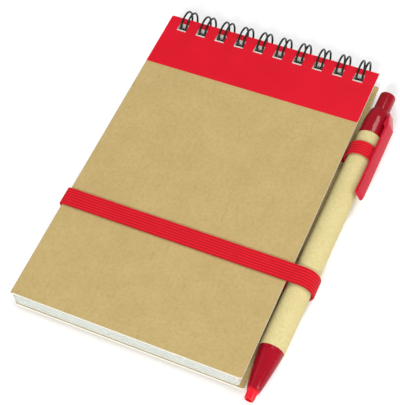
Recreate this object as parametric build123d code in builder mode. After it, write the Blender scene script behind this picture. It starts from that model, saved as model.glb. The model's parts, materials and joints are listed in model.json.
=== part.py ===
from build123d import *
import math
import os

os.makedirs("parts", exist_ok=True)

# Top-bound pocket jotter with a twin-loop wire, an elastic closure band, an elastic pen loop and a click pen.
# Millimetres. X is the width, +Y points to the wire binding, +Z is up. The origin is the centre of the
# back cover's underside.

# covers and pages
COVER_WIDTH = 90.0
COVER_LENGTH = 140.0
CORNER_RADIUS = 0.8
BACK_COVER_THICKNESS = 1.3
BACK_COVER_LIP = 0.4
FRONT_COVER_THICKNESS = 0.7
HEADER_DEPTH = 25.6
HEADER_THICKNESS = 0.12
BUNDLE_COUNT = 6
BUNDLE_THICKNESS = 1.26
PAGE_LEFT_INSET = 0.4
PAGE_RIGHT_INSET = 1.5
PAGE_TOP_INSET = 0.3
PAGE_BOTTOM_INSET = 0.2
SCORE_Y = 61.0
SCORE_WIDTH = 0.6
SCORE_DEPTH = 0.35

# binding wire
LOOP_COUNT = 10
LOOP_PITCH = 25.4 / 3
RING_RADIUS = 6.2
WIRE_RADIUS = 0.425
WIRE_HALF_GAP = 1.2
RING_Y = 70.1
TIP_ANGLE = -79.0
BASE_ANGLE = 246.0
HOLE_SIZE = 4.0
HOLE_FAR_REACH = 6.93

# elastics
BAND_Y = -26.1
BAND_WIDTH = 7.6
BAND_THICKNESS = 0.9
BAND_SIDE_GAP = 0.3
BAND_TURN_X = 46.3
POCKET_FLOOR = 0.5
POCKET_MARGIN = 0.15
END_LENGTH = 7.4
LOOP_Y = 33.8
LOOP_WIDTH = 6.3
LOOP_THICKNESS = 0.8

# pen, measured along its own axis from the tip of the cone
PEN_SKEW = 0.69
PEN_X = 50.0
PEN_Z = 4.51
PEN_TIP_Y = -74.3
BARREL_RADIUS = 4.75
BARREL_BORE = 3.85
BARREL_START = 20.0
BARREL_END = 117.0
ELASTIC_GAP = 0.3
CONE_TIP_RADIUS = 1.75
CONE_BORE = 1.2
CONE_STEP = 3.2
SPIGOT_RADIUS = 3.8
SPIGOT_LENGTH = 7.0
CAP_RADIUS = 4.8
CAP_SHOULDER = 127.0
CAP_END = 129.5
CAP_BORE = 3.55
CAP_LOWER_BORE = 2.7
BUTTON_RADIUS = 3.25
BUTTON_FLANGE = 121.5
BUTTON_END = 139.6
STEM_RADIUS = 2.25
STEM_START = 108.0
ROTOR_LENGTH = 4.5
REFILL_RADIUS = 1.6
REFILL_START = 22.0
REFILL_NOSE = 1.2
SPRING_RADIUS = 2.05
SPRING_WIRE = 0.2
SPRING_START = 9.0
SPRING_END = 20.6
SPRING_TURNS = 8
SPRING_SEAT = 8.4

# pen clip
CLIP_TURN = 25.0
CLIP_WIDTH = 5.2
CLIP_TOP_WIDTH = 3.2
CLIP_PIVOT_U = 5.3
CLIP_PIVOT_V = 123.6
CLIP_ROOT_U = 5.15
CLIP_ROOT_START_V = 121.9
CLIP_TOP_V = 128.5
CLIP_INNER_U = 6.3
CLIP_OUTER_U = 7.4
CLIP_ELBOW_V = 122.3
CLIP_TIP_V = 88.6
LUG_RADIUS = 0.5
LUG_WIDTH = 1.6
LUG_BASE_U = 3.7
LUG_GAP = 0.3

PAGES_BOTTOM = BACK_COVER_THICKNESS
PAGES_TOP = PAGES_BOTTOM + BUNDLE_COUNT * BUNDLE_THICKNESS
COVER_TOP = PAGES_TOP + FRONT_COVER_THICKNESS
RING_Z = COVER_TOP / 2
HOLE_Y = RING_Y - HOLE_FAR_REACH + HOLE_SIZE / 2

LOOP_CENTRES = [(k - (LOOP_COUNT - 1) / 2) * LOOP_PITCH for k in range(LOOP_COUNT)]
HOLE_PLACES = [(x, HOLE_Y) for x in LOOP_CENTRES]

SKEW_SIN = math.sin(math.radians(PEN_SKEW))
SKEW_COS = math.cos(math.radians(PEN_SKEW))


def pen_axis_x(y):
    return PEN_X + math.tan(math.radians(PEN_SKEW)) * y


def pen_point(v):
    return (pen_axis_x(PEN_TIP_Y) + v * SKEW_SIN, PEN_TIP_Y + v * SKEW_COS, PEN_Z)


def pen_cross(v):
    return Plane(origin=pen_point(v), x_dir=(SKEW_COS, -SKEW_SIN, 0), z_dir=(SKEW_SIN, SKEW_COS, 0))


PEN_AXIS = Axis(pen_point(0), (SKEW_SIN, SKEW_COS, 0))
PEN_SECTION = Plane(origin=pen_point(0), x_dir=(SKEW_COS, -SKEW_SIN, 0), z_dir=(0, 0, 1))

# The clip stands on the outboard side of the pen, turned a little upward.
TURN_SIN = math.sin(math.radians(CLIP_TURN))
TURN_COS = math.cos(math.radians(CLIP_TURN))
CLIP_SECTION = Plane(
    origin=pen_point(0),
    x_dir=(SKEW_COS * TURN_COS, -SKEW_SIN * TURN_COS, TURN_SIN),
    z_dir=(-SKEW_COS * TURN_SIN, SKEW_SIN * TURN_SIN, TURN_COS),
)
CLIP_FACE = Plane(
    origin=pen_point(0),
    x_dir=(SKEW_COS * TURN_SIN, -SKEW_SIN * TURN_SIN, -TURN_COS),
    z_dir=(SKEW_COS * TURN_COS, -SKEW_SIN * TURN_COS, TURN_SIN),
)

# back cover board: punched, scored below the holes, with glue pockets for the elastics in its inner face
BACK_WIDTH = COVER_WIDTH + BACK_COVER_LIP
BACK_CENTRE_X = BACK_COVER_LIP / 2
BACK_RIGHT = COVER_WIDTH / 2 + BACK_COVER_LIP
POCKET_REACH = END_LENGTH + 0.3
POCKET_HEIGHT = BACK_COVER_THICKNESS - POCKET_FLOOR
LOOP_NOTCH_X = 44.8

with BuildPart() as back_cover:
    with BuildSketch(Plane.XY):
        with Locations((BACK_CENTRE_X, 0)):
            RectangleRounded(BACK_WIDTH, COVER_LENGTH, CORNER_RADIUS)
        with Locations(HOLE_PLACES):
            Rectangle(HOLE_SIZE, HOLE_SIZE, mode=Mode.SUBTRACT)
    extrude(amount=BACK_COVER_THICKNESS)
    with BuildSketch(Plane.XY):
        with Locations((0, SCORE_Y)):
            Rectangle(COVER_WIDTH * 2, SCORE_WIDTH)
    extrude(amount=SCORE_DEPTH, mode=Mode.SUBTRACT)
    with BuildSketch(Plane.XY.offset(POCKET_FLOOR)):
        with Locations((-COVER_WIDTH / 2, BAND_Y), (BACK_RIGHT, BAND_Y)):
            Rectangle(2 * POCKET_REACH, BAND_WIDTH + 2 * POCKET_MARGIN)
        with Locations((BACK_RIGHT, LOOP_Y)):
            Rectangle(2 * POCKET_REACH, LOOP_WIDTH + 2 * POCKET_MARGIN)
    extrude(amount=POCKET_HEIGHT, mode=Mode.SUBTRACT)
    with BuildSketch(Plane.XY):
        with Locations((LOOP_NOTCH_X + END_LENGTH, LOOP_Y)):
            Rectangle(2 * END_LENGTH, LOOP_WIDTH + 2 * POCKET_MARGIN)
    extrude(amount=BACK_COVER_THICKNESS, mode=Mode.SUBTRACT)
back_cover.part.label = "back_cover"
export_step(back_cover.part, "parts/back_cover.step")

# page bundles, rear to front
PAGE_WIDTH = COVER_WIDTH - PAGE_LEFT_INSET - PAGE_RIGHT_INSET
PAGE_LENGTH = COVER_LENGTH - PAGE_TOP_INSET - PAGE_BOTTOM_INSET
PAGE_X = (PAGE_LEFT_INSET - PAGE_RIGHT_INSET) / 2
PAGE_Y = (PAGE_BOTTOM_INSET - PAGE_TOP_INSET) / 2

for bundle in range(BUNDLE_COUNT):
    with BuildPart() as sheets:
        with BuildSketch(Plane.XY.offset(PAGES_BOTTOM + bundle * BUNDLE_THICKNESS)):
            with Locations((PAGE_X, PAGE_Y)):
                RectangleRounded(PAGE_WIDTH, PAGE_LENGTH, CORNER_RADIUS)
            with Locations(HOLE_PLACES):
                Rectangle(HOLE_SIZE, HOLE_SIZE, mode=Mode.SUBTRACT)
        extrude(amount=BUNDLE_THICKNESS)
    bundle_name = f"page_bundle_{bundle + 1}"
    sheets.part.label = bundle_name
    export_step(sheets.part, f"parts/{bundle_name}.step")

with BuildPart() as front_cover:
    with BuildSketch(Plane.XY.offset(PAGES_TOP)):
        RectangleRounded(COVER_WIDTH, COVER_LENGTH, CORNER_RADIUS)
        with Locations(HOLE_PLACES):
            Rectangle(HOLE_SIZE, HOLE_SIZE, mode=Mode.SUBTRACT)
    extrude(amount=FRONT_COVER_THICKNESS)
front_cover.part.label = "front_cover"
export_step(front_cover.part, "parts/front_cover.step")

# coloured strip bonded over the bound end of the front cover, punched with it
with BuildPart() as header_strip:
    with BuildSketch(Plane.XY.offset(COVER_TOP)):
        with Locations((0, (COVER_LENGTH - HEADER_DEPTH) / 2)):
            Rectangle(COVER_WIDTH - 0.1, HEADER_DEPTH - 0.1)
        with Locations(HOLE_PLACES):
            Rectangle(HOLE_SIZE, HOLE_SIZE, mode=Mode.SUBTRACT)
    extrude(amount=HEADER_THICKNESS)
header_strip.part.label = "header_strip"
export_step(header_strip.part, "parts/header_strip.step")


# twin-loop wire: ten closed fingers joined by straight spine lengths under the back cover
def ring_radial(angle):
    return (0, math.cos(math.radians(angle)), math.sin(math.radians(angle)))


def ring_tangent(angle):
    return (0, -math.sin(math.radians(angle)), math.cos(math.radians(angle)))


def ring_point(x, angle, along=0.0):
    radial = ring_radial(angle)
    tangent = ring_tangent(angle)
    y = RING_Y + RING_RADIUS * radial[1] + along * tangent[1]
    z = RING_Z + RING_RADIUS * radial[2] + along * tangent[2]
    return (x, y, z)


def ring_plane(x, angle):
    return Plane(origin=ring_point(x, angle), x_dir=(1, 0, 0), z_dir=ring_tangent(angle))


RING_AXIS = Axis((0, RING_Y, RING_Z), (1, 0, 0))
BASE_OUT = ring_radial(BASE_ANGLE)
BASE_IN = (0, -BASE_OUT[1], -BASE_OUT[2])
TIP_OUT = ring_radial(TIP_ANGLE)
TIP_IN = (0, -TIP_OUT[1], -TIP_OUT[2])
SPINE_LENGTH = LOOP_PITCH - 4 * WIRE_HALF_GAP

with BuildPart() as wire_binding:
    for index, centre in enumerate(LOOP_CENTRES):
        left = centre - WIRE_HALF_GAP
        right = centre + WIRE_HALF_GAP
        for x in (left, right):
            with BuildSketch(ring_plane(x, TIP_ANGLE)):
                Circle(WIRE_RADIUS)
            revolve(axis=RING_AXIS, revolution_arc=BASE_ANGLE - TIP_ANGLE)
        with BuildSketch(ring_plane(left, TIP_ANGLE)):
            Circle(WIRE_RADIUS)
        revolve(axis=Axis(ring_point(centre, TIP_ANGLE), TIP_IN), revolution_arc=180)
        if index > 0:
            with BuildSketch(ring_plane(left, BASE_ANGLE)):
                Circle(WIRE_RADIUS)
            revolve(axis=Axis(ring_point(left - WIRE_HALF_GAP, BASE_ANGLE), BASE_IN), revolution_arc=90)
        if index < LOOP_COUNT - 1:
            with BuildSketch(ring_plane(right, BASE_ANGLE)):
                Circle(WIRE_RADIUS)
            revolve(axis=Axis(ring_point(right + WIRE_HALF_GAP, BASE_ANGLE), BASE_OUT), revolution_arc=90)
            spine_start = ring_point(right + WIRE_HALF_GAP, BASE_ANGLE, WIRE_HALF_GAP)
            with BuildSketch(Plane(origin=spine_start, z_dir=(1, 0, 0))):
                Circle(WIRE_RADIUS)
            extrude(amount=SPINE_LENGTH)
wire_binding.part.label = "wire_binding"
export_step(wire_binding.part, "parts/wire_binding.step")

# elastic closure band: up the left edge, over the front cover, round the pen and back to the rear board
BAND_START = BAND_Y + BAND_WIDTH / 2
BAND_LEFT_IN = -COVER_WIDTH / 2 - BAND_SIDE_GAP
BAND_LEFT_OUT = BAND_LEFT_IN - BAND_THICKNESS
BAND_PEN_X = pen_axis_x(BAND_Y)
BAND_INNER = COVER_TOP - PEN_Z
BAND_OUTER = BAND_INNER + BAND_THICKNESS
BAND_TOP = COVER_TOP + BAND_THICKNESS
BAND_UNDER = PEN_Z - BAND_OUTER
BAND_FOLD_X = BAND_TURN_X - 0.6
BAND_FOLD_TOP = 0.9


def band_plane(y):
    return Plane(origin=(0, y, 0), x_dir=(1, 0, 0), z_dir=(0, -1, 0))


with BuildPart() as closure_band:
    with BuildSketch(band_plane(BAND_START)):
        with BuildLine():
            Polyline(
                (BAND_LEFT_IN, POCKET_FLOOR),
                (BAND_LEFT_OUT, POCKET_FLOOR),
                (BAND_LEFT_OUT, BAND_TOP - BAND_THICKNESS),
            )
            RadiusArc((BAND_LEFT_OUT, BAND_TOP - BAND_THICKNESS), (BAND_LEFT_IN, BAND_TOP), BAND_THICKNESS)
            Line((BAND_LEFT_IN, BAND_TOP), (BAND_PEN_X, BAND_TOP))
            ThreePointArc(
                (BAND_PEN_X, BAND_TOP), (BAND_PEN_X + BAND_OUTER, PEN_Z), (BAND_PEN_X, BAND_UNDER)
            )
            Polyline(
                (BAND_PEN_X, BAND_UNDER),
                (BAND_FOLD_X, BAND_UNDER),
                (BAND_FOLD_X, BAND_FOLD_TOP),
                (BAND_TURN_X, BAND_FOLD_TOP),
                (BAND_TURN_X, BAND_UNDER + BAND_THICKNESS),
                (BAND_PEN_X, BAND_UNDER + BAND_THICKNESS),
            )
            ThreePointArc(
                (BAND_PEN_X, BAND_UNDER + BAND_THICKNESS),
                (BAND_PEN_X + BAND_INNER, PEN_Z),
                (BAND_PEN_X, COVER_TOP),
            )
            Polyline((BAND_PEN_X, COVER_TOP), (BAND_LEFT_IN, COVER_TOP), (BAND_LEFT_IN, POCKET_FLOOR))
        make_face()
    extrude(amount=BAND_WIDTH)
closure_band.part.label = "closure_band"
export_step(closure_band.part, "parts/closure_band.step")

# glued ends of the band, sunk flush into the back cover's pockets
with BuildPart() as band_ends:
    with BuildSketch(Plane.XY.offset(POCKET_FLOOR)):
        with Locations(
            (-COVER_WIDTH / 2 + END_LENGTH / 2, BAND_Y),
            (BACK_RIGHT - END_LENGTH / 2, BAND_Y),
        ):
            Rectangle(END_LENGTH, BAND_WIDTH)
    extrude(amount=POCKET_HEIGHT)
band_ends.part.label = "band_ends"
export_step(band_ends.part, "parts/band_ends.step")

# elastic pen loop: a ring round the barrel with a tab glued in the back cover
LOOP_INNER = BARREL_RADIUS + ELASTIC_GAP
LOOP_OUTER = LOOP_INNER + LOOP_THICKNESS
LOOP_V = (LOOP_Y - PEN_TIP_Y) / SKEW_COS - LOOP_WIDTH / 2
TAB_END_X = 46.3

with BuildPart() as pen_loop:
    with BuildSketch(Plane.XY.offset(POCKET_FLOOR)):
        with Locations(((BACK_RIGHT - END_LENGTH + TAB_END_X) / 2, LOOP_Y)):
            Rectangle(TAB_END_X - BACK_RIGHT + END_LENGTH, LOOP_WIDTH)
    extrude(amount=POCKET_HEIGHT)
    with BuildSketch(pen_cross(LOOP_V)):
        Circle(LOOP_OUTER)
    extrude(amount=LOOP_WIDTH)
    with BuildSketch(pen_cross(LOOP_V - 1)):
        Circle(LOOP_INNER)
    extrude(amount=LOOP_WIDTH + 2, mode=Mode.SUBTRACT)
pen_loop.part.label = "pen_loop"
export_step(pen_loop.part, "parts/pen_loop.step")

# rolled paper barrel
with BuildPart() as pen_barrel:
    with BuildSketch(pen_cross(BARREL_START)):
        Circle(BARREL_RADIUS)
        Circle(BARREL_BORE, mode=Mode.SUBTRACT)
    extrude(amount=BARREL_END - BARREL_START)
pen_barrel.part.label = "pen_barrel"
export_step(pen_barrel.part, "parts/pen_barrel.step")

# moulded cone with a spigot up the barrel and a seat for the return spring
CONE_TOP = BARREL_START + SPIGOT_LENGTH

with BuildPart() as pen_cone:
    with BuildSketch(PEN_SECTION):
        Polygon(
            (CONE_BORE, 0),
            (CONE_TIP_RADIUS, 0),
            (CONE_TIP_RADIUS + 0.25, CONE_STEP),
            (CONE_TIP_RADIUS + 0.55, CONE_STEP),
            (4.05, 14.0),
            (4.65, BARREL_START),
            (SPIGOT_RADIUS, BARREL_START),
            (SPIGOT_RADIUS, CONE_TOP),
            (2.75, CONE_TOP),
            (2.75, 11.0),
            (2.45, SPRING_SEAT),
            (CONE_BORE, SPRING_SEAT),
            align=None,
        )
    revolve(axis=PEN_AXIS)
pen_cone.part.label = "pen_cone"
export_step(pen_cone.part, "parts/pen_cone.step")

# cap with a stepped bore for the button, a spigot down the barrel and one lug inside the clip's root
CAP_START = BARREL_END - SPIGOT_LENGTH

with BuildPart() as pen_cap:
    with BuildSketch(PEN_SECTION):
        Polygon(
            (CAP_LOWER_BORE, CAP_START),
            (SPIGOT_RADIUS, CAP_START),
            (SPIGOT_RADIUS, BARREL_END),
            (CAP_RADIUS, BARREL_END),
            (CAP_RADIUS, CAP_SHOULDER - 2.0),
            (CAP_RADIUS - 0.3, CAP_SHOULDER),
            (CAP_BORE + 0.45, CAP_END),
            (CAP_BORE, CAP_END),
            (CAP_BORE, BARREL_END),
            (CAP_LOWER_BORE, BARREL_END),
            align=None,
        )
    revolve(axis=PEN_AXIS)
    with BuildSketch(CLIP_SECTION):
        with Locations((CLIP_PIVOT_U, CLIP_PIVOT_V)):
            Circle(LUG_RADIUS)
        with Locations(((CLIP_PIVOT_U + LUG_BASE_U) / 2, CLIP_PIVOT_V)):
            Rectangle(CLIP_PIVOT_U - LUG_BASE_U, 2 * LUG_RADIUS)
    extrude(amount=LUG_WIDTH / 2, both=True)
    with BuildSketch(pen_cross(BARREL_END)):
        Circle(CAP_BORE)
    extrude(amount=CAP_END - BARREL_END, mode=Mode.SUBTRACT)
pen_cap.part.label = "pen_cap"
export_step(pen_cap.part, "parts/pen_cap.step")

# clip: root slotted over the cap's lug, sloping neck, straight arm and a small bump at its tip
BUMP_U = CLIP_INNER_U - 0.2
SLOT_DEPTH_U = CLIP_PIVOT_U + LUG_RADIUS + LUG_GAP
SLOT_START_U = CLIP_ROOT_U - 1.0

with BuildPart() as pen_clip:
    with BuildSketch(CLIP_SECTION):
        Polygon(
            (CLIP_ROOT_U, CLIP_ROOT_START_V),
            (CLIP_ROOT_U, CAP_SHOULDER - 2.0),
            (CLIP_ROOT_U - 0.25, CLIP_TOP_V - 0.3),
            (CLIP_ROOT_U + 0.2, CLIP_TOP_V),
            (CLIP_OUTER_U, CLIP_ELBOW_V),
            (CLIP_OUTER_U, CLIP_TIP_V + 1.0),
            (CLIP_OUTER_U - 0.7, CLIP_TIP_V),
            (CLIP_INNER_U - 0.2, CLIP_TIP_V),
            (BUMP_U, CLIP_TIP_V + 1.6),
            (BUMP_U, CLIP_TIP_V + 2.6),
            (CLIP_INNER_U, CLIP_TIP_V + 5.0),
            (CLIP_INNER_U, CLIP_ROOT_START_V - 0.9),
            align=None,
        )
    extrude(amount=CLIP_WIDTH / 2, both=True)
    with BuildSketch(CLIP_FACE):
        Polygon(
            (-CLIP_WIDTH / 2, CLIP_TIP_V - 1),
            (CLIP_WIDTH / 2, CLIP_TIP_V - 1),
            (CLIP_WIDTH / 2, CLIP_ELBOW_V),
            (CLIP_TOP_WIDTH / 2, CLIP_TOP_V),
            (CLIP_TOP_WIDTH / 2, CLIP_TOP_V + 1),
            (-CLIP_TOP_WIDTH / 2, CLIP_TOP_V + 1),
            (-CLIP_TOP_WIDTH / 2, CLIP_TOP_V),
            (-CLIP_WIDTH / 2, CLIP_ELBOW_V),
            align=None,
        )
    extrude(amount=CLIP_OUTER_U + 2, mode=Mode.INTERSECT)
    with BuildSketch(CLIP_SECTION):
        with Locations(((SLOT_START_U + SLOT_DEPTH_U) / 2, CLIP_PIVOT_V)):
            Rectangle(SLOT_DEPTH_U - SLOT_START_U, 2 * (LUG_RADIUS + LUG_GAP))
    extrude(amount=LUG_WIDTH / 2 + LUG_GAP, both=True, mode=Mode.SUBTRACT)
pen_clip.part.label = "pen_clip"
export_step(pen_clip.part, "parts/pen_clip.step")

# push button: domed head and a stem that reaches down to the rotor
DOME_HEIGHT = 1.6
DOME_RADIUS = (BUTTON_RADIUS**2 + DOME_HEIGHT**2) / (2 * DOME_HEIGHT)
DOME_HALF_ANGLE = math.asin(BUTTON_RADIUS / DOME_RADIUS) / 2
DOME_MIDDLE = BUTTON_END - DOME_RADIUS * (1 - math.cos(DOME_HALF_ANGLE))

with BuildPart() as pen_button:
    with BuildSketch(PEN_SECTION):
        with BuildLine():
            Polyline(
                (0, STEM_START),
                (STEM_RADIUS, STEM_START),
                (STEM_RADIUS, BUTTON_FLANGE),
                (BUTTON_RADIUS, BUTTON_FLANGE),
                (BUTTON_RADIUS, BUTTON_END - DOME_HEIGHT),
            )
            ThreePointArc(
                (BUTTON_RADIUS, BUTTON_END - DOME_HEIGHT),
                (DOME_RADIUS * math.sin(DOME_HALF_ANGLE), DOME_MIDDLE),
                (0, BUTTON_END),
            )
            Line((0, BUTTON_END), (0, STEM_START))
        make_face()
    revolve(axis=PEN_AXIS)
pen_button.part.label = "pen_button"
export_step(pen_button.part, "parts/pen_button.step")

# rotor of the click mechanism, a small crown with four teeth
ROTOR_START = STEM_START - ROTOR_LENGTH
ROTOR_BODY = 3.0
TOOTH_LENGTH = 1.2

with BuildPart() as click_rotor:
    with BuildSketch(pen_cross(ROTOR_START)):
        Circle(STEM_RADIUS)
    extrude(amount=ROTOR_BODY)
    with BuildSketch(pen_cross(ROTOR_START + ROTOR_BODY)):
        with PolarLocations((STEM_RADIUS + 0.6) / 2, 4):
            Rectangle(STEM_RADIUS - 0.9, 1.2)
        Circle(0.8)
    extrude(amount=TOOTH_LENGTH)
click_rotor.part.label = "click_rotor"
export_step(click_rotor.part, "parts/click_rotor.step")

# ink tube with a spring flange, and its metal point
with BuildPart() as refill_tube:
    with BuildSketch(pen_cross(REFILL_START)):
        Circle(REFILL_RADIUS)
    extrude(amount=ROTOR_START - REFILL_START)
refill_tube.part.label = "refill_tube"
export_step(refill_tube.part, "parts/refill_tube.step")

with BuildPart() as refill_point:
    with BuildSketch(PEN_SECTION):
        Polygon(
            (0, REFILL_NOSE),
            (0.3, REFILL_NOSE),
            (0.85, REFILL_NOSE + 2.4),
            (0.85, 13.2),
            (1.45, 14.2),
            (1.45, 20.9),
            (2.3, 20.9),
            (2.3, REFILL_START),
            (0, REFILL_START),
            align=None,
        )
    revolve(axis=PEN_AXIS)
refill_point.part.label = "refill_point"
export_step(refill_point.part, "parts/refill_point.step")

# return spring between the cone's seat and the flange of the point
SPRING_SPAN = SPRING_END - SPRING_START
SPRING_PITCH = SPRING_SPAN / SPRING_TURNS
SPRING_DIRECTION = (SKEW_SIN, SKEW_COS, 0)

with BuildPart() as return_spring:
    with BuildLine() as coil:
        Helix(
            pitch=SPRING_PITCH,
            height=SPRING_SPAN,
            radius=SPRING_RADIUS,
            center=pen_point(SPRING_START),
            direction=SPRING_DIRECTION,
        )
    with BuildSketch(Plane(origin=coil.line @ 0, z_dir=coil.line % 0)):
        Circle(SPRING_WIRE)
    sweep(path=coil.line, is_frenet=True)
return_spring.part.label = "return_spring"
export_step(return_spring.part, "parts/return_spring.step")
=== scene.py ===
import json
import math

import bmesh
import bpy
from mathutils import Matrix, Vector


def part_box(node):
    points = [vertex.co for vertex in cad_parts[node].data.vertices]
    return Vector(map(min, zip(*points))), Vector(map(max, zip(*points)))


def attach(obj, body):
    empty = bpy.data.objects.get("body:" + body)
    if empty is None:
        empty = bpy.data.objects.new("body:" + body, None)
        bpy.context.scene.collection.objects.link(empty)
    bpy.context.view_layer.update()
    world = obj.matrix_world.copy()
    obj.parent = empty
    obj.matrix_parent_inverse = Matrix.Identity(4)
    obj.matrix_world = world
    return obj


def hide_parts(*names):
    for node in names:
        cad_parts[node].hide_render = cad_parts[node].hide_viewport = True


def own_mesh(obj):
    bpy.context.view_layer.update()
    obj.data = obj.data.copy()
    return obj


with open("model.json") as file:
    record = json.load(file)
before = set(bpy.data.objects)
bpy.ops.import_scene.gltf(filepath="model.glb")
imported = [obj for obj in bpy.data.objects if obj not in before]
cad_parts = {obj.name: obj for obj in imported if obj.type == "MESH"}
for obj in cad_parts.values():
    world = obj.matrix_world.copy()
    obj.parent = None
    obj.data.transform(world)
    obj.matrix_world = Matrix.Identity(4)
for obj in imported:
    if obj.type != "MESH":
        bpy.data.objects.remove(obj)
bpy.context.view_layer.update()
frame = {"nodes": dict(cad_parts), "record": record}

MM = 0.001
SHARP_ANGLE = math.radians(35)

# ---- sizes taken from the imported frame, in metres ------------------------------------------------
FRONT_LOW, FRONT_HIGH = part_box("front_cover")
HEADER_LOW, HEADER_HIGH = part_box("header_strip")
BAND_LOW, BAND_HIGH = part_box("closure_band")
LOOP_LOW, LOOP_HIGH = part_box("pen_loop")
BUNDLES = sorted(name for name in frame["nodes"] if name.startswith("page_bundle"))
FLOOR_Z = min(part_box("wire_binding")[0].z, BAND_LOW.z)
FLOOR_GAP = 0.1 * MM

# ---- binding ------------------------------------------------------------------------------------
LOOP_COUNT = 10
LOOP_PITCH = 25.4 / 3 * MM
WIRE_RADIUS = 0.425 * MM
WIRE_HALF_GAP = 1.2 * MM
RING_RADIUS = 6.2 * MM
RING_Y = 70.1 * MM
RING_Z = FRONT_HIGH.z / 2
TIP_ANGLE = -79.0
BASE_ANGLE = 246.0
HOLE_SIZE = 4.0 * MM
HOLE_FAR_REACH = 6.93 * MM
HOLE_LOW = RING_Y - HOLE_FAR_REACH
HOLE_HIGH = HOLE_LOW + HOLE_SIZE
HOLE_CLEARANCE = 0.3 * MM
CORNER_RADIUS = 0.8 * MM
RULE_PITCH = 7.0 * MM
HEADING_SPACE = 12.0 * MM
LOOP_CENTRES = [(k - (LOOP_COUNT - 1) / 2) * LOOP_PITCH for k in range(LOOP_COUNT)]

# ---- pen frame: the axis lies level beside the pages, turned a little outward at the top ----------
PEN_SKEW = math.radians(0.69)
PEN_X = 50.0 * MM
PEN_Z = 4.51 * MM
PEN_TIP_Y = -74.3 * MM
PEN_TIP = Vector((PEN_X + math.tan(PEN_SKEW) * PEN_TIP_Y, PEN_TIP_Y, PEN_Z))
PEN_ALONG = Vector((math.sin(PEN_SKEW), math.cos(PEN_SKEW), 0))
PEN_SIDE = Vector((math.cos(PEN_SKEW), -math.sin(PEN_SKEW), 0))
PEN_UP = Vector((0, 0, 1))
BARREL_RADIUS = 4.75
CLIP_TURN = math.radians(25)


# ---- mesh helpers -------------------------------------------------------------------------------
def smooth(obj, angle=SHARP_ANGLE):
    for polygon in obj.data.polygons:
        polygon.use_smooth = True
    bm = bmesh.new()
    bm.from_mesh(obj.data)
    for edge in bm.edges:
        edge.smooth = len(edge.link_faces) == 2 and edge.calc_face_angle(0) < angle
    bm.to_mesh(obj.data)
    bm.free()


def add_piece(name, bm, material, body, replaced=(), angle=SHARP_ANGLE):
    bmesh.ops.recalc_face_normals(bm, faces=bm.faces)
    mesh = bpy.data.meshes.new(name)
    bm.to_mesh(mesh)
    bm.free()
    obj = bpy.data.objects.new(name, mesh)
    bpy.context.scene.collection.objects.link(obj)
    mesh.materials.append(material)
    smooth(obj, angle)
    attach(obj, body)
    if replaced:
        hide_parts(*replaced)
    return obj


def bridge(bm, ring_a, ring_b):
    count = len(ring_a)
    for i in range(count):
        j = (i + 1) % count
        bm.faces.new((ring_a[i], ring_a[j], ring_b[j], ring_b[i]))


def tube(bm, path, radius, sides=12):
    """A round wire along a path, turned as little as possible from point to point."""
    tangents = []
    for i in range(len(path)):
        before = path[max(i - 1, 0)]
        after = path[min(i + 1, len(path) - 1)]
        tangents.append((after - before).normalized())
    side = tangents[0].orthogonal().normalized()
    rings = []
    for point, tangent in zip(path, tangents):
        side = (side - tangent * side.dot(tangent)).normalized()
        other = tangent.cross(side)
        ring = []
        for k in range(sides):
            turn = 2 * math.pi * k / sides
            ring.append(bm.verts.new(point + (side * math.cos(turn) + other * math.sin(turn)) * radius))
        rings.append(ring)
    for first, second in zip(rings, rings[1:]):
        bridge(bm, first, second)
    bm.faces.new(list(reversed(rings[0])))
    bm.faces.new(rings[-1])


def pen_place(u, v, w=0.0):
    """A point in the pen's frame, in millimetres: u outboard, v along the pen from its tip, w upward."""
    return PEN_TIP + PEN_SIDE * (u * MM) + PEN_ALONG * (v * MM) + PEN_UP * (w * MM)


def lathe(bm, profile, sides=72):
    """Turns a closed outline of (radius, along) points in millimetres about the pen's axis."""
    rings = []
    for radius, along in profile:
        ring = []
        for k in range(sides):
            turn = 2 * math.pi * k / sides
            ring.append(bm.verts.new(pen_place(radius * math.cos(turn), along, radius * math.sin(turn))))
        rings.append(ring)
    for first, second in zip(rings, rings[1:] + rings[:1]):
        bridge(bm, first, second)


def rounded(profile, radius, steps=4):
    """Rounds each corner of a closed outline by at most the given radius."""
    result = []
    count = len(profile)
    for i, corner in enumerate(profile):
        here = Vector(corner)
        before = Vector(profile[i - 1])
        after = Vector(profile[(i + 1) % count])
        reach = min(radius, (before - here).length * 0.45, (after - here).length * 0.45)
        start = here + (before - here).normalized() * reach
        end = here + (after - here).normalized() * reach
        for k in range(steps + 1):
            t = k / steps
            result.append(tuple(start * (1 - t) ** 2 + here * (2 * t * (1 - t)) + end * t**2))
    return result


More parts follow.
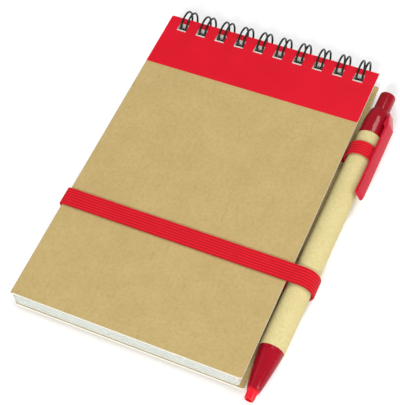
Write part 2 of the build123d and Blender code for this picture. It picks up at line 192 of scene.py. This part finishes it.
def punched_card(bm, low, high, corner, hole_low=HOLE_LOW):
    """A sheet with rounded corners and the row of square binding holes, as one closed shell."""
    edges_x = [low.x, high.x]
    for centre in LOOP_CENTRES:
        edges_x += [centre - HOLE_SIZE / 2, centre + HOLE_SIZE / 2]
    edges_x.sort()
    edges_y = [low.y, low.y + (high.y - low.y) * 0.33, low.y + (high.y - low.y) * 0.66]
    edges_y += [hole_low, HOLE_HIGH, high.y]
    hole_row = 3

    def is_hole(i, j):
        return j == hole_row and i % 2 == 1

    layers = []
    for z in (low.z, high.z):
        layers.append([[bm.verts.new((x, y, z)) for y in edges_y] for x in edges_x])
    columns = len(edges_x) - 1
    rows = len(edges_y) - 1
    for i in range(columns):
        for j in range(rows):
            if is_hole(i, j):
                continue
            for layer in layers:
                bm.faces.new((layer[i][j], layer[i + 1][j], layer[i + 1][j + 1], layer[i][j + 1]))
            neighbours = (
                (i, j - 1, (i, j), (i + 1, j)),
                (i, j + 1, (i, j + 1), (i + 1, j + 1)),
                (i - 1, j, (i, j), (i, j + 1)),
                (i + 1, j, (i + 1, j), (i + 1, j + 1)),
            )
            for ni, nj, a, b in neighbours:
                outside = ni < 0 or nj < 0 or ni >= columns or nj >= rows
                if outside or is_hole(ni, nj):
                    quad = [layers[0][a[0]][a[1]], layers[0][b[0]][b[1]]]
                    quad += [layers[1][b[0]][b[1]], layers[1][a[0]][a[1]]]
                    bm.faces.new(quad)
    bm.normal_update()
    corners = []
    for edge in bm.edges:
        first, second = edge.verts
        upright = abs(first.co.z - second.co.z) > 1e-7
        at_side = min(abs(first.co.x - low.x), abs(first.co.x - high.x)) < 1e-7
        at_end = min(abs(first.co.y - low.y), abs(first.co.y - high.y)) < 1e-7
        if upright and at_side and at_end:
            corners.append(edge)
    bmesh.ops.bevel(bm, geom=corners, offset=corner, segments=5, affect="EDGES", profile=0.5)


def soften(obj, width, segments=2, angle=30):
    modifier = obj.modifiers.new("edge", "BEVEL")
    modifier.width = width
    modifier.segments = segments
    modifier.limit_method = "ANGLE"
    modifier.angle_limit = math.radians(angle)


# ---- material helpers ---------------------------------------------------------------------------
class Shade:
    """One material's node tree, with short calls for the nodes used here."""

    def __init__(self, name):
        self.material = bpy.data.materials.new(name)
        self.material.use_nodes = True
        self.tree = self.material.node_tree
        self.shader = self.tree.nodes["Principled BSDF"]
        coordinates = self.node("ShaderNodeTexCoord")
        self.place = coordinates.outputs["Object"]
        self.facing = coordinates.outputs["Normal"]

    def node(self, kind, **settings):
        made = self.tree.nodes.new(kind)
        for key, value in settings.items():
            setattr(made, key, value)
        return made

    def link(self, source, target):
        self.tree.links.new(source, target)

    def stretched(self, scale):
        mapping = self.node("ShaderNodeMapping")
        self.link(self.place, mapping.inputs["Vector"])
        mapping.inputs["Scale"].default_value = scale
        return mapping.outputs["Vector"]

    def noise(self, scale, detail=3.0, roughness=0.55, stretch=None):
        made = self.node("ShaderNodeTexNoise")
        made.inputs["Scale"].default_value = scale
        made.inputs["Detail"].default_value = detail
        made.inputs["Roughness"].default_value = roughness
        self.link(self.stretched(stretch) if stretch else self.place, made.inputs["Vector"])
        return made.outputs["Fac"]

    def ramp(self, value, stops):
        made = self.node("ShaderNodeValToRGB")
        elements = made.color_ramp.elements
        while len(elements) < len(stops):
            elements.new(0.5)
        for element, (position, colour) in zip(elements, stops):
            element.position = position
            element.color = (*colour, 1) if len(colour) == 3 else colour
        self.link(value, made.inputs["Fac"])
        return made.outputs["Color"]

    def mix(self, factor, first, second, blend="MIX"):
        made = self.node("ShaderNodeMix", data_type="RGBA", blend_type=blend)
        for socket, value in ((0, factor), (6, first), (7, second)):
            if isinstance(value, bpy.types.NodeSocket):
                self.link(value, made.inputs[socket])
            elif socket == 0:
                made.inputs[socket].default_value = value
            else:
                made.inputs[socket].default_value = (*value, 1)
        return made.outputs[2]

    def math(self, operation, first, second=0.0, third=0.0):
        made = self.node("ShaderNodeMath", operation=operation)
        for socket, value in enumerate((first, second, third)):
            if isinstance(value, bpy.types.NodeSocket):
                self.link(value, made.inputs[socket])
            else:
                made.inputs[socket].default_value = value
        return made.outputs[0]

    def axis(self, index):
        split = self.node("ShaderNodeSeparateXYZ")
        self.link(self.place, split.inputs[0])
        return split.outputs[index]

    def on_face(self):
        """1 on a sheet's broad faces and 0 on its cut edges."""
        split = self.node("ShaderNodeSeparateXYZ")
        self.link(self.facing, split.inputs[0])
        return self.math("GREATER_THAN", self.math("ABSOLUTE", split.outputs[2]), 0.7)

    def bump(self, height, strength, distance, under=None):
        made = self.node("ShaderNodeBump")
        made.inputs["Strength"].default_value = strength
        made.inputs["Distance"].default_value = distance
        self.link(height, made.inputs["Height"])
        if under is not None:
            self.link(under, made.inputs["Normal"])
        return made.outputs["Normal"]

    def finish(self, colour=None, normal=None, roughness=None, **values):
        if colour is not None:
            self.link(colour, self.shader.inputs["Base Color"])
        if normal is not None:
            self.link(normal, self.shader.inputs["Normal"])
        if roughness is not None:
            self.link(roughness, self.shader.inputs["Roughness"])
        for key, value in values.items():
            self.shader.inputs[key.replace("_", " ")].default_value = value
        return self.material


def kraft_material(name, light, mid, dark, fibre_stretch, edge=None):
    """Recycled card: cloudy tone, short fibres lying one way, flecks, and a paler core on cut edges."""
    shade = Shade(name)
    cloud = shade.noise(90, 4, 0.6)
    mottle = shade.noise(1000, 5, 0.7)
    fibre = shade.noise(1400, 4, 0.6, fibre_stretch)
    colour = shade.ramp(cloud, [(0.3, mid), (0.7, light)])
    colour = shade.mix(shade.ramp(mottle, [(0.42, (0, 0, 0)), (0.75, (0.45, 0.45, 0.45))]), colour, dark)
    colour = shade.mix(shade.ramp(fibre, [(0.58, (0, 0, 0)), (0.74, (0.4, 0.4, 0.4))]), colour, dark)
    flecks = shade.noise(2300, 2, 0.5, (1.0, 0.45, 1.0))
    colour = shade.mix(shade.ramp(flecks, [(0.66, (0, 0, 0)), (0.74, (0.6, 0.6, 0.6))]), colour, light)
    if edge:
        colour = shade.mix(shade.on_face(), edge, colour)
    normal = shade.bump(fibre, 0.25, 0.00005)
    normal = shade.bump(mottle, 0.3, 0.00004, normal)
    rough = shade.math("MULTIPLY_ADD", mottle, 0.2, 0.72)
    return shade.finish(colour, normal, rough, Specular_IOR_Level=0.15)


def header_material():
    """Red paper strip: nearly even colour with a faint fibre and a satin face."""
    shade = Shade("header_red")
    cloud = shade.noise(70, 3, 0.5)
    grain = shade.noise(1300, 4, 0.6)
    colour = shade.ramp(cloud, [(0.3, (0.555, 0.002, 0.014)), (0.7, (0.61, 0.003, 0.018))])
    specks = shade.ramp(grain, [(0.5, (0, 0, 0)), (0.8, (0.3, 0.3, 0.3))])
    colour = shade.mix(specks, colour, (0.5, 0.003, 0.01))
    normal = shade.bump(grain, 0.2, 0.00003)
    rough = shade.math("MULTIPLY_ADD", grain, 0.15, 0.55)
    return shade.finish(colour, normal, rough, Specular_IOR_Level=0.15)


def page_material():
    """Off-white writing paper with faint ruled lines, a soft grain and painted shade greying the cut
    outer edges.
    """
    shade = Shade("page_paper")
    grain = shade.noise(1600, 4, 0.6)
    tone = shade.noise(90, 3, 0.5)
    colour = shade.ramp(tone, [(0.3, (0.90, 0.90, 0.83)), (0.7, (0.94, 0.94, 0.87))])
    row = shade.math("FRACT", shade.math("MULTIPLY", shade.axis(1), 1 / RULE_PITCH))
    line = shade.math("LESS_THAN", row, 0.04)
    below = shade.math("LESS_THAN", shade.axis(1), HOLE_LOW - HEADING_SPACE)
    ruled = shade.math("MULTIPLY", shade.math("MULTIPLY", line, below), shade.on_face())
    colour = shade.mix(shade.math("MULTIPLY", ruled, 0.45), colour, (0.35, 0.42, 0.5))
    # Painted shade: the cut edges outside the hole row are greyed to stand in for the shade between the
    # sheets, and the hole walls keep the paper colour.
    past = shade.math("GREATER_THAN", shade.axis(1), HOLE_LOW - 2.0 * MM)
    short = shade.math("LESS_THAN", shade.axis(1), HOLE_HIGH + 0.5 * MM)
    near_holes = shade.math("MULTIPLY", past, short)
    inboard = shade.math("LESS_THAN", shade.math("ABSOLUTE", shade.axis(0)), LOOP_CENTRES[-1] + HOLE_SIZE)
    in_hole = shade.math("MULTIPLY", near_holes, inboard)
    outer = shade.math("SUBTRACT", 1.0, in_hole)
    painted_edge_shade = shade.math("MULTIPLY", outer, shade.math("SUBTRACT", 1.0, shade.on_face()))
    colour = shade.mix(painted_edge_shade, colour, (0.55, 0.57, 0.50))
    normal = shade.bump(grain, 0.15, 0.00003)
    rough = shade.math("MULTIPLY_ADD", grain, 0.1, 0.78)
    return shade.finish(
        colour, normal, rough, Specular_IOR_Level=0.15,
        Subsurface_Weight=0.3, Subsurface_Scale=0.002, Subsurface_Radius=(1.0, 1.0, 1.0),
    )


def wire_material():
    """Dark coated steel with slight drawing marks."""
    shade = Shade("binding_wire")
    drawn = shade.noise(2600, 3, 0.6, (1.0, 0.3, 0.3))
    colour = shade.ramp(drawn, [(0.35, (0.006, 0.006, 0.005)), (0.7, (0.016, 0.015, 0.012))])
    normal = shade.bump(drawn, 0.08, 0.00002)
    rough = shade.math("MULTIPLY_ADD", drawn, 0.12, 0.2)
    return shade.finish(colour, normal, rough, Metallic=0.1, Specular_IOR_Level=0.25)


def elastic_material(name, rib_axis, rib_pitch):
    """Woven elastic: painted shade in the valleys between lengthwise ribs and a fine cross weave on their
    crowns.
    """
    shade = Shade(name)
    across = shade.axis(rib_axis)
    wave = shade.math("SINE", shade.math("MULTIPLY", across, 2 * math.pi / rib_pitch))
    stitch = shade.noise(2400, 3, 0.6, (1.0, 0.6, 1.0))
    cloud = shade.noise(160, 3, 0.6)
    colour = shade.ramp(stitch, [(0.35, (0.66, 0.006, 0.014)), (0.7, (0.86, 0.010, 0.022))])
    faded = shade.ramp(cloud, [(0.35, (0.35, 0.35, 0.35)), (0.7, (0, 0, 0))])
    colour = shade.mix(faded, colour, (0.6, 0.004, 0.015))
    # Painted shade: the colour is darkened in the valleys between the ribs, where shade falls.
    painted_valley_shade = shade.ramp(wave, [(0.0, (0.7, 0.7, 0.7)), (0.45, (0, 0, 0))])
    colour = shade.mix(painted_valley_shade, colour, (0.30, 0.002, 0.010))
    normal = shade.bump(wave, 0.35, 0.00012)
    normal = shade.bump(stitch, 0.4, 0.00008, normal)
    rough = shade.math("MULTIPLY_ADD", stitch, 0.2, 0.6)
    return shade.finish(
        colour, normal, rough, Sheen_Weight=0.04, Sheen_Roughness=0.4, Specular_IOR_Level=0.15
    )


def plastic_material(name, deep, bright, transmission, tip=None):
    """Tinted moulded plastic with faint flow marks and a polished skin, with an optional painted glow of
    light towards the thin tip.
    """
    shade = Shade(name)
    flow = shade.noise(120, 3, 0.5, (1.0, 0.35, 1.0))
    grain = shade.noise(2200, 2, 0.5)
    colour = shade.ramp(flow, [(0.3, deep), (0.72, bright)])
    # Painted light: near the pen's point the colour fades to a bright red that stands in for light
    # shining through the thin translucent tip.
    if tip:
        start = PEN_TIP.y + PAINTED_TIP_GLOW_LENGTH
        share = shade.math("MULTIPLY", shade.math("SUBTRACT", start, shade.axis(1)), PAINTED_TIP_GLOW_FADE_RATE)
        colour = shade.mix(shade.math("MINIMUM", shade.math("MAXIMUM", share, 0.0), 1.0), colour, tip)
    normal = shade.bump(grain, 0.04, 0.00003)
    rough = shade.math("MULTIPLY_ADD", flow, 0.08, 0.1)
    return shade.finish(
        colour, normal, rough, Transmission_Weight=transmission, IOR=1.5, Specular_IOR_Level=0.14,
        Coat_Weight=0.05, Coat_Roughness=0.08,
    )


def plain_plastic_material():
    shade = Shade("white_plastic")
    flow = shade.noise(300, 3, 0.5)
    colour = shade.ramp(flow, [(0.3, (0.7, 0.7, 0.66)), (0.7, (0.78, 0.78, 0.74))])
    rough = shade.math("MULTIPLY_ADD", flow, 0.1, 0.35)
    return shade.finish(colour, shade.bump(flow, 0.05, 0.00003), rough)


def metal_material():
    shade = Shade("point_metal")
    turned = shade.noise(3000, 3, 0.6, (0.4, 1.0, 0.4))
    colour = shade.ramp(turned, [(0.3, (0.5, 0.49, 0.46)), (0.7, (0.62, 0.61, 0.58))])
    rough = shade.math("MULTIPLY_ADD", turned, 0.15, 0.2)
    return shade.finish(colour, shade.bump(turned, 0.1, 0.00002), rough, Metallic=1.0)


KRAFT = kraft_material(
    "cover_kraft", (0.48, 0.362, 0.156), (0.44, 0.327, 0.135), (0.317, 0.218, 0.084),
    (1.0, 0.18, 1.0), (0.74, 0.72, 0.64),
)
BARREL_PAPER = kraft_material(
    "barrel_paper", (0.63, 0.546, 0.271), (0.585, 0.499, 0.233), (0.446, 0.339, 0.14), (1.0, 0.12, 1.0)
)
HEADER = header_material()
PAPER = page_material()
WIRE = wire_material()
RIB_COUNT = 7
BAND_WIDTH = BAND_HIGH.y - BAND_LOW.y
RIB_PITCH = BAND_WIDTH / RIB_COUNT
ELASTIC = elastic_material("red_elastic", 1, RIB_PITCH)
# Painted light: length and fade of the bright colour painted on the cone's point (the last red below) for
# light shining through the thin plastic.
PAINTED_TIP_GLOW_LENGTH = 4.2 * MM
PAINTED_TIP_GLOW_FADE_RATE = 900
RED_PLASTIC = plastic_material(
    "red_plastic", (0.27, 0.001, 0.008), (0.37, 0.002, 0.014), 0.12, (0.80, 0.01, 0.025)
)
CLIP_PLASTIC = plastic_material("red_plastic_clip", (0.50, 0.003, 0.02), (0.60, 0.006, 0.03), 0.1)
WHITE_PLASTIC = plain_plastic_material()
METAL = metal_material()


# ---- covers, header and pages -------------------------------------------------------------------
def make_cards():
    bm = bmesh.new()
    punched_card(bm, FRONT_LOW, FRONT_HIGH, CORNER_RADIUS)
    card = add_piece("front_cover_card", bm, KRAFT, "cover", ("front_cover",))
    soften(card, 0.12 * MM)

    bm = bmesh.new()
    punched_card(bm, HEADER_LOW, HEADER_HIGH, CORNER_RADIUS)
    add_piece("header_paper", bm, HEADER, "cover", ("header_strip",))
    frame["nodes"]["back_cover"].data.materials.clear()
    frame["nodes"]["back_cover"].data.materials.append(KRAFT)


SHEETS_PER_BUNDLE = 10
SHEET_GAP_SHARE = 0.08
BODIES = frame["record"]["behaviour"]["bodies"]
BODY_OF_BUNDLE = {node: body for body, nodes in BODIES.items() for node in nodes}


def page_hole_low(top, bottom):
    """The near edge of a sheet's holes: just clear of the wire at that sheet's height in the stack."""
    reach = RING_RADIUS + WIRE_RADIUS + HOLE_CLEARANCE
    rise = min(abs(top - RING_Z), abs(bottom - RING_Z))
    return RING_Y - math.sqrt(reach**2 - rise**2)


def make_pages():
    for bundle in BUNDLES:
        low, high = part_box(bundle)
        pitch = (high.z - low.z) / SHEETS_PER_BUNDLE
        bm = bmesh.new()
        for sheet in range(SHEETS_PER_BUNDLE):
            serial = BUNDLES.index(bundle) * SHEETS_PER_BUNDLE + sheet
            slip_x = 0.10 * MM * math.sin(serial * 2.4)
            slip_y = 0.08 * MM * math.sin(serial * 1.7 + 1.0)
            bottom = low.z + sheet * pitch
            top = bottom + pitch * (1 - SHEET_GAP_SHARE)
            sheet_low = Vector((low.x + 0.1 * MM + slip_x, low.y + 0.1 * MM + slip_y, bottom))
            sheet_high = Vector((high.x - 0.1 * MM + slip_x, high.y - 0.1 * MM + slip_y, top))
            punched_card(bm, sheet_low, sheet_high, CORNER_RADIUS, page_hole_low(top, bottom))
        add_piece(f"{bundle}_sheets", bm, PAPER, BODY_OF_BUNDLE[bundle], (bundle,))


# ---- binding wire -------------------------------------------------------------------------------
def ring_point(x, angle, along=0.0):
    radial = Vector((0, math.cos(math.radians(angle)), math.sin(math.radians(angle))))
    tangent = Vector((0, -radial.z, radial.y))
    return Vector((x, RING_Y, RING_Z)) + radial * RING_RADIUS + tangent * along


def finger_arc(x, start, end, steps=96):
    return [ring_point(x, start + (end - start) * k / steps) for k in range(steps + 1)]


def turn_arc(x, sign, angle, start, end, steps=10):
    """A small arc of the wire, in the plane of X and the ring's tangent, at the given ring angle."""
    points = []
    for k in range(steps + 1):
        turn = math.radians(start + (end - start) * k / steps)
        along = sign * WIRE_HALF_GAP * math.sin(turn)
        points.append(ring_point(x + WIRE_HALF_GAP * math.cos(turn), angle, along))
    return points


def make_wire():
    path = []
    for index, centre in enumerate(LOOP_CENTRES):
        left = centre - WIRE_HALF_GAP
        right = centre + WIRE_HALF_GAP
        if index > 0:
            path += turn_arc(left - WIRE_HALF_GAP, 1, BASE_ANGLE, 90, 0)[:-1]
        path += finger_arc(left, BASE_ANGLE, TIP_ANGLE)
        path += turn_arc(centre, -1, TIP_ANGLE, 180, 0)[1:-1]
        path += finger_arc(right, TIP_ANGLE, BASE_ANGLE)
        if index < LOOP_COUNT - 1:
            path += turn_arc(right + WIRE_HALF_GAP, 1, BASE_ANGLE, 180, 90)[1:]
    bm = bmesh.new()
    tube(bm, path, WIRE_RADIUS)
    round_wire = math.radians(60)
    add_piece("binding_wire_loops", bm, WIRE, "rear_board", ("wire_binding",), round_wire)


# ---- elastics -----------------------------------------------------------------------------------
def strap_profile(width, thickness, ribs, depth):
    """Cross-section of ribbed elastic: rounded ribs on both faces and rounded edges."""
    samples = ribs * 8
    face = []
    for k in range(samples + 1):
        share = k / samples
        a = (share - 0.5) * width * 0.98
        crown = abs(math.sin(math.pi * ribs * share)) ** 0.6
        edge = 1 - max(0.0, abs(share - 0.5) * 2 - 0.93) / 0.07 * 0.4
        face.append((a, (thickness / 2 - depth * (1 - crown)) * edge))
    return face + [(a, -b) for a, b in reversed(face)]


def arc(centre, radius, start, end, steps):
    """Points and outward normals on an arc in the XZ plane about a centre."""
    made = []
    for k in range(steps + 1):
        turn = math.radians(start + (end - start) * k / steps)
        normal = Vector((math.cos(turn), 0, math.sin(turn)))
        made.append((centre + normal * radius, normal))
    return made


BAND_THICKNESS = BAND_HIGH.z - FRONT_HIGH.z
BAND_MIDDLE_Y = (BAND_LOW.y + BAND_HIGH.y) / 2


def pen_centre(y):
    return Vector((PEN_X + math.tan(PEN_SKEW) * y, y, PEN_Z))


def make_closure_band():
    half = BAND_THICKNESS / 2
    top = FRONT_HIGH.z + half
    left = BAND_LOW.x + half
    corner = 0.95 * MM
    right_fold = 46.0 * MM
    fold_top = 0.85 * MM
    left_end = 0.5 * MM
    centre = pen_centre(BAND_MIDDLE_Y)
    radius = top - centre.z
    outward_left = Vector((-1, 0, 0))
    up = Vector((0, 0, 1))
    y = BAND_MIDDLE_Y
    stations = []
    for k in range(6):
        rise = (top - corner - left_end) * k / 6
        stations.append((Vector((left, y, left_end + rise)), outward_left))
    stations += arc(Vector((left + corner, y, top - corner)), corner, 180, 90, 8)
    run_start = left + corner
    for k in range(1, 24):
        x = run_start + (centre.x - run_start) * k / 24
        stations.append((Vector((x, y, top)), up))
    stations += arc(centre, radius, 90, -90, 28)
    under = centre.z - radius
    fold = 0.55 * MM
    fold_reach = 1.2 * MM
    stations += [(Vector((centre.x - fold_reach, y, under)), -up)]
    stations += arc(Vector((right_fold + fold, y, under + fold)), fold, -90, -180, 6)
    stations += [(Vector((right_fold, y, fold_top)), outward_left)]
    profile = strap_profile(BAND_WIDTH, BAND_THICKNESS, RIB_COUNT, 0.10 * MM)
    thin = strap_profile(BAND_WIDTH, 0.6 * MM, RIB_COUNT, 0.06 * MM)
    bm = bmesh.new()
    across = Vector((0, 1, 0))
    rings = []
    for point, normal in stations:
        section = thin if point.z < FRONT_LOW.z and right_fold - MM < point.x < centre.x - MM else profile
        rings.append([bm.verts.new(point + across * a + normal * b) for a, b in section])
    for first, second in zip(rings, rings[1:]):
        bridge(bm, first, second)
    bm.faces.new(rings[0])
    bm.faces.new(list(reversed(rings[-1])))
    rounded_ribs = math.radians(50)
    replaced = ("closure_band",)
    band = add_piece("closure_band_elastic", bm, ELASTIC, "band", replaced, rounded_ribs)
    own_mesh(band)


def make_pen_loop():
    centre = pen_centre((LOOP_LOW.y + LOOP_HIGH.y) / 2)
    thickness = 0.8 * MM
    radius = BARREL_RADIUS * MM + 0.3 * MM + thickness / 2
    tab_z = 0.9 * MM
    start_angle = 222
    up = Vector((0, 0, 1))
    y = centre.y
    tab_start = 38.2 * MM
    tab_end = 44.0 * MM
    sweep = 346
    stations = [(Vector((tab_start, y, tab_z)), -up), (Vector((tab_end, y, tab_z)), -up)]
    stations += arc(centre, radius, start_angle, start_angle + sweep, 96)
    width = 6.2 * MM
    thick = strap_profile(width, thickness * 0.96, 6, 0.09 * MM)
    thin = strap_profile(width, 0.7 * MM, 6, 0.05 * MM)
    bm = bmesh.new()
    rings = []
    for index, (point, normal) in enumerate(stations):
        section = thin if index < 3 else thick
        rings.append([bm.verts.new(point + PEN_ALONG * a + normal * b) for a, b in section])
    for first, second in zip(rings, rings[1:]):
        bridge(bm, first, second)
    bm.faces.new(rings[0])
    bm.faces.new(list(reversed(rings[-1])))
    add_piece("pen_loop_elastic", bm, ELASTIC, "rear_board", ("pen_loop",), math.radians(50))


# ---- pen ----------------------------------------------------------------------------------------
def make_barrel():
    """Rolled paper tube with softly rounded ends."""
    outline = rounded([(3.86, 20.05), (4.75, 20.05), (4.75, 116.95), (3.86, 116.95)], 0.18)
    bm = bmesh.new()
    lathe(bm, outline, 96)
    add_piece("pen_barrel_tube", bm, BARREL_PAPER, "pen", ("pen_barrel",))


def make_cone():
    outline = [(1.2, 0.0), (1.72, 0.0), (1.98, 3.2), (2.28, 3.25)]
    for k in range(1, 9):
        share = k / 8
        outline.append((2.28 + 2.32 * share**0.82, 3.25 + 15.6 * share))
    outline += [(4.45, 19.0), (4.45, 19.4), (4.68, 19.5), (4.68, 20.0), (3.8, 20.0), (3.8, 27.0)]
    outline += [(2.76, 27.0), (2.76, 11.0), (2.45, 8.4), (1.2, 8.4)]
    bm = bmesh.new()
    lathe(bm, rounded(outline, 0.14, 3))
    add_piece("pen_cone_moulded", bm, RED_PLASTIC, "pen", ("pen_cone",))


def make_cap():
    outline = [(2.7, 110.0), (3.8, 110.0), (3.8, 117.0), (4.78, 117.05), (4.78, 125.0), (4.5, 127.0)]
    outline += [(4.3, 128.3), (4.0, 129.5), (3.56, 129.5), (3.56, 117.0), (2.7, 117.0)]
    bm = bmesh.new()
    lathe(bm, rounded(outline, 0.2, 3))
    add_piece("pen_cap_moulded", bm, RED_PLASTIC, "pen", ("pen_cap",))


CLIP_OUT = PEN_SIDE * math.cos(CLIP_TURN) + PEN_UP * math.sin(CLIP_TURN)
CLIP_ACROSS = PEN_UP * math.cos(CLIP_TURN) - PEN_SIDE * math.sin(CLIP_TURN)
CLIP_WIDTH = 5.2
CLIP_TOP_WIDTH = 3.2
CLIP_ELBOW_V = 122.3
CLIP_TOP_V = 128.5
CLIP_PIVOT = (5.3, 123.6)
LUG_RADIUS = 0.5
LUG_WIDTH = 1.6
LUG_GAP = 0.3


def clip_place(u, v, w):
    return PEN_TIP + (CLIP_OUT * u + PEN_ALONG * v + CLIP_ACROSS * w) * MM


def slab(bm, outline, width, top_width=None):
    """A flat piece in the clip's plane, narrowing evenly above the elbow to the top width."""
    halves = []
    for u, v in outline:
        share = max(0.0, (v - CLIP_ELBOW_V) / (CLIP_TOP_V - CLIP_ELBOW_V)) if top_width else 0.0
        halves.append((width + ((top_width or width) - width) * share) / 2)
    bottom = [bm.verts.new(clip_place(u, v, -half)) for (u, v), half in zip(outline, halves)]
    top = [bm.verts.new(clip_place(u, v, half)) for (u, v), half in zip(outline, halves)]
    bridge(bm, bottom, top)
    bm.faces.new(bottom)
    bm.faces.new(list(reversed(top)))


def rectangle(u0, u1, v0, v1):
    return [(u0, v0), (u1, v0), (u1, v1), (u0, v1)]


def carve(obj, outline, width):
    """Cuts a straight slot through a piece and keeps the result as its mesh."""
    bm = bmesh.new()
    slab(bm, outline, width)
    bmesh.ops.recalc_face_normals(bm, faces=bm.faces)
    mesh = bpy.data.meshes.new("slot_cutter")
    bm.to_mesh(mesh)
    bm.free()
    cutter = bpy.data.objects.new("slot_cutter", mesh)
    bpy.context.scene.collection.objects.link(cutter)
    modifier = obj.modifiers.new("slot", "BOOLEAN")
    modifier.operation = "DIFFERENCE"
    modifier.solver = "EXACT"
    modifier.object = cutter
    bpy.context.view_layer.update()
    result = bpy.data.meshes.new_from_object(obj.evaluated_get(bpy.context.evaluated_depsgraph_get()))
    obj.modifiers.clear()
    obj.data = result
    bpy.data.objects.remove(cutter)
    smooth(obj)


def make_clip():
    """Root slotted over the cap's lug, sloping neck, flat straight arm and a bump inside the tip."""
    outline = [(5.15, 121.9), (5.15, 125.0), (4.9, 128.2), (5.35, CLIP_TOP_V)]
    outline += [(7.4, CLIP_ELBOW_V), (7.4, 89.6), (6.7, 88.6), (6.1, 88.6)]
    outline += [(6.1, 90.2), (6.1, 91.2), (6.3, 93.6), (6.3, 121.0)]
    bm = bmesh.new()
    slab(bm, rounded(outline, 0.6, 4), CLIP_WIDTH, CLIP_TOP_WIDTH)
    clip = add_piece("pen_clip_moulded", bm, CLIP_PLASTIC, "clip", ("pen_clip",))
    soften(clip, 0.45 * MM, 4, 50)
    slot_half = LUG_RADIUS + LUG_GAP
    slot = rectangle(4.1, CLIP_PIVOT[0] + slot_half, CLIP_PIVOT[1] - slot_half, CLIP_PIVOT[1] + slot_half)
    carve(clip, slot, LUG_WIDTH + 2 * LUG_GAP)


def make_lug():
    outline = [(3.9, CLIP_PIVOT[1] - LUG_RADIUS)]
    for k in range(13):
        turn = math.radians(-90 + 15 * k)
        u = CLIP_PIVOT[0] + LUG_RADIUS * math.cos(turn)
        outline.append((u, CLIP_PIVOT[1] + LUG_RADIUS * math.sin(turn)))
    outline.append((3.9, CLIP_PIVOT[1] + LUG_RADIUS))
    bm = bmesh.new()
    slab(bm, outline, LUG_WIDTH)
    lug = add_piece("clip_lug", bm, RED_PLASTIC, "pen")
    soften(lug, 0.12 * MM, 2, 50)


def make_button():
    outline = [(0.01, 108.0), (2.25, 108.0), (2.25, 121.5), (3.25, 121.5), (3.25, 137.9)]
    for k in range(1, 6):
        turn = math.radians(18 * k)
        outline.append((2.65 + 0.6 * math.cos(turn), 137.9 + 0.6 * math.sin(turn)))
    for share in (0.75, 0.5, 0.25, 0.02):
        outline.append((2.65 * share, 139.55 - 1.05 * share**2))
    bm = bmesh.new()
    lathe(bm, outline)
    add_piece("pen_button_moulded", bm, RED_PLASTIC, "button", ("pen_button",))


def make_spring():
    """Eight even coils between the cone's seat and the refill point's flange, shortened by the button."""
    radius = 2.05
    wire = 0.2 * MM
    start = 9.0
    length = 11.6
    turns = 8
    steps = turns * 24
    path = []
    for k in range(steps + 1):
        turn = 2 * math.pi * turns * k / steps
        along = start + length * k / steps
        path.append(pen_place(radius * math.cos(turn), along, radius * math.sin(turn)))
    bm = bmesh.new()
    tube(bm, path, wire, 8)
    spring = add_piece("return_spring_coils", bm, METAL, "pen", ("return_spring",))
    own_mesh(spring)


def finish_inner_parts():
    looks = {
        "click_rotor": WHITE_PLASTIC, "refill_tube": WHITE_PLASTIC, "refill_point": METAL,
        "band_ends": ELASTIC,
    }
    for node, material in looks.items():
        mesh = frame["nodes"][node].data
        mesh.materials.clear()
        mesh.materials.append(material)


make_cards()
make_pages()
make_wire()
make_closure_band()
make_pen_loop()
make_barrel()
make_cone()
make_cap()
make_clip()
make_lug()
make_button()
make_spring()
finish_inner_parts()


# ---- floor, light and camera --------------------------------------------------------------------
def make_floor():
    shade = Shade("studio_floor")
    tone = shade.noise(3, 2, 0.5)
    colour = shade.ramp(tone, [(0.3, (0.96, 0.96, 0.96)), (0.7, (0.98, 0.98, 0.98))])
    shade.finish(colour, Roughness=0.9, Specular_IOR_Level=0.0)
    bm = bmesh.new()
    bmesh.ops.create_grid(bm, x_segments=4, y_segments=4, size=3.0)
    mesh = bpy.data.meshes.new("studio_floor")
    bm.to_mesh(mesh)
    bm.free()
    mesh.materials.append(shade.material)
    floor = bpy.data.objects.new("studio_floor", mesh)
    floor.location.z = FLOOR_Z - FLOOR_GAP
    bpy.context.scene.collection.objects.link(floor)


def add_area(name, place, target, size, power):
    data = bpy.data.lights.new(name, "AREA")
    data.shape = "RECTANGLE"
    data.size, data.size_y = size
    data.energy = power
    lamp = bpy.data.objects.new(name, data)
    bpy.context.scene.collection.objects.link(lamp)
    lamp.location = place
    lamp.rotation_euler = (Vector(target) - Vector(place)).to_track_quat("-Z", "Y").to_euler()


def make_light():
    world = bpy.data.worlds.new("studio")
    bpy.context.scene.world = world
    world.use_nodes = True
    background = world.node_tree.nodes["Background"]
    background.inputs["Color"].default_value = (1, 1, 1, 1)
    background.inputs["Strength"].default_value = 0.47
    middle = (0.0, 0.0, 0.0)
    add_area("key", (0.25, 0.45, 0.7), middle, (0.4, 0.3), 3.2)
    add_area("fill", (-0.7, -0.2, 0.6), middle, (0.6, 0.6), 0.9)
    add_area("front", (0.15, -0.85, 0.62), middle, (0.3, 0.2), 7.4)
    add_area("strip", (0.7, -0.1, 0.35), (0.05, 0, 0), (0.08, 0.5), 1.0)


CAMERA_PLACE = Vector((0.1220, -0.2094, 0.3640))
CAMERA_AZIMUTH = math.radians(30.85)
CAMERA_ELEVATION = math.radians(56.84)
CAMERA_ROLL = math.radians(-8.22)
CAMERA_LENS = 101.55


def make_camera():
    data = bpy.data.cameras.new("camera")
    data.lens = CAMERA_LENS
    data.sensor_width = 36
    data.clip_start = 0.01
    camera = bpy.data.objects.new("camera", data)
    bpy.context.scene.collection.objects.link(camera)
    level = math.cos(CAMERA_ELEVATION)
    across = -math.sin(CAMERA_AZIMUTH) * level
    ahead = math.cos(CAMERA_AZIMUTH) * level
    aim = Vector((across, ahead, -math.sin(CAMERA_ELEVATION)))
    turn = aim.to_track_quat("-Z", "Y").to_matrix().to_4x4() @ Matrix.Rotation(CAMERA_ROLL, 4, "Z")
    camera.matrix_world = Matrix.Translation(CAMERA_PLACE) @ turn
    bpy.context.scene.camera = camera


make_floor()
make_light()
make_camera()
bpy.context.scene.view_settings.view_transform = "Standard"
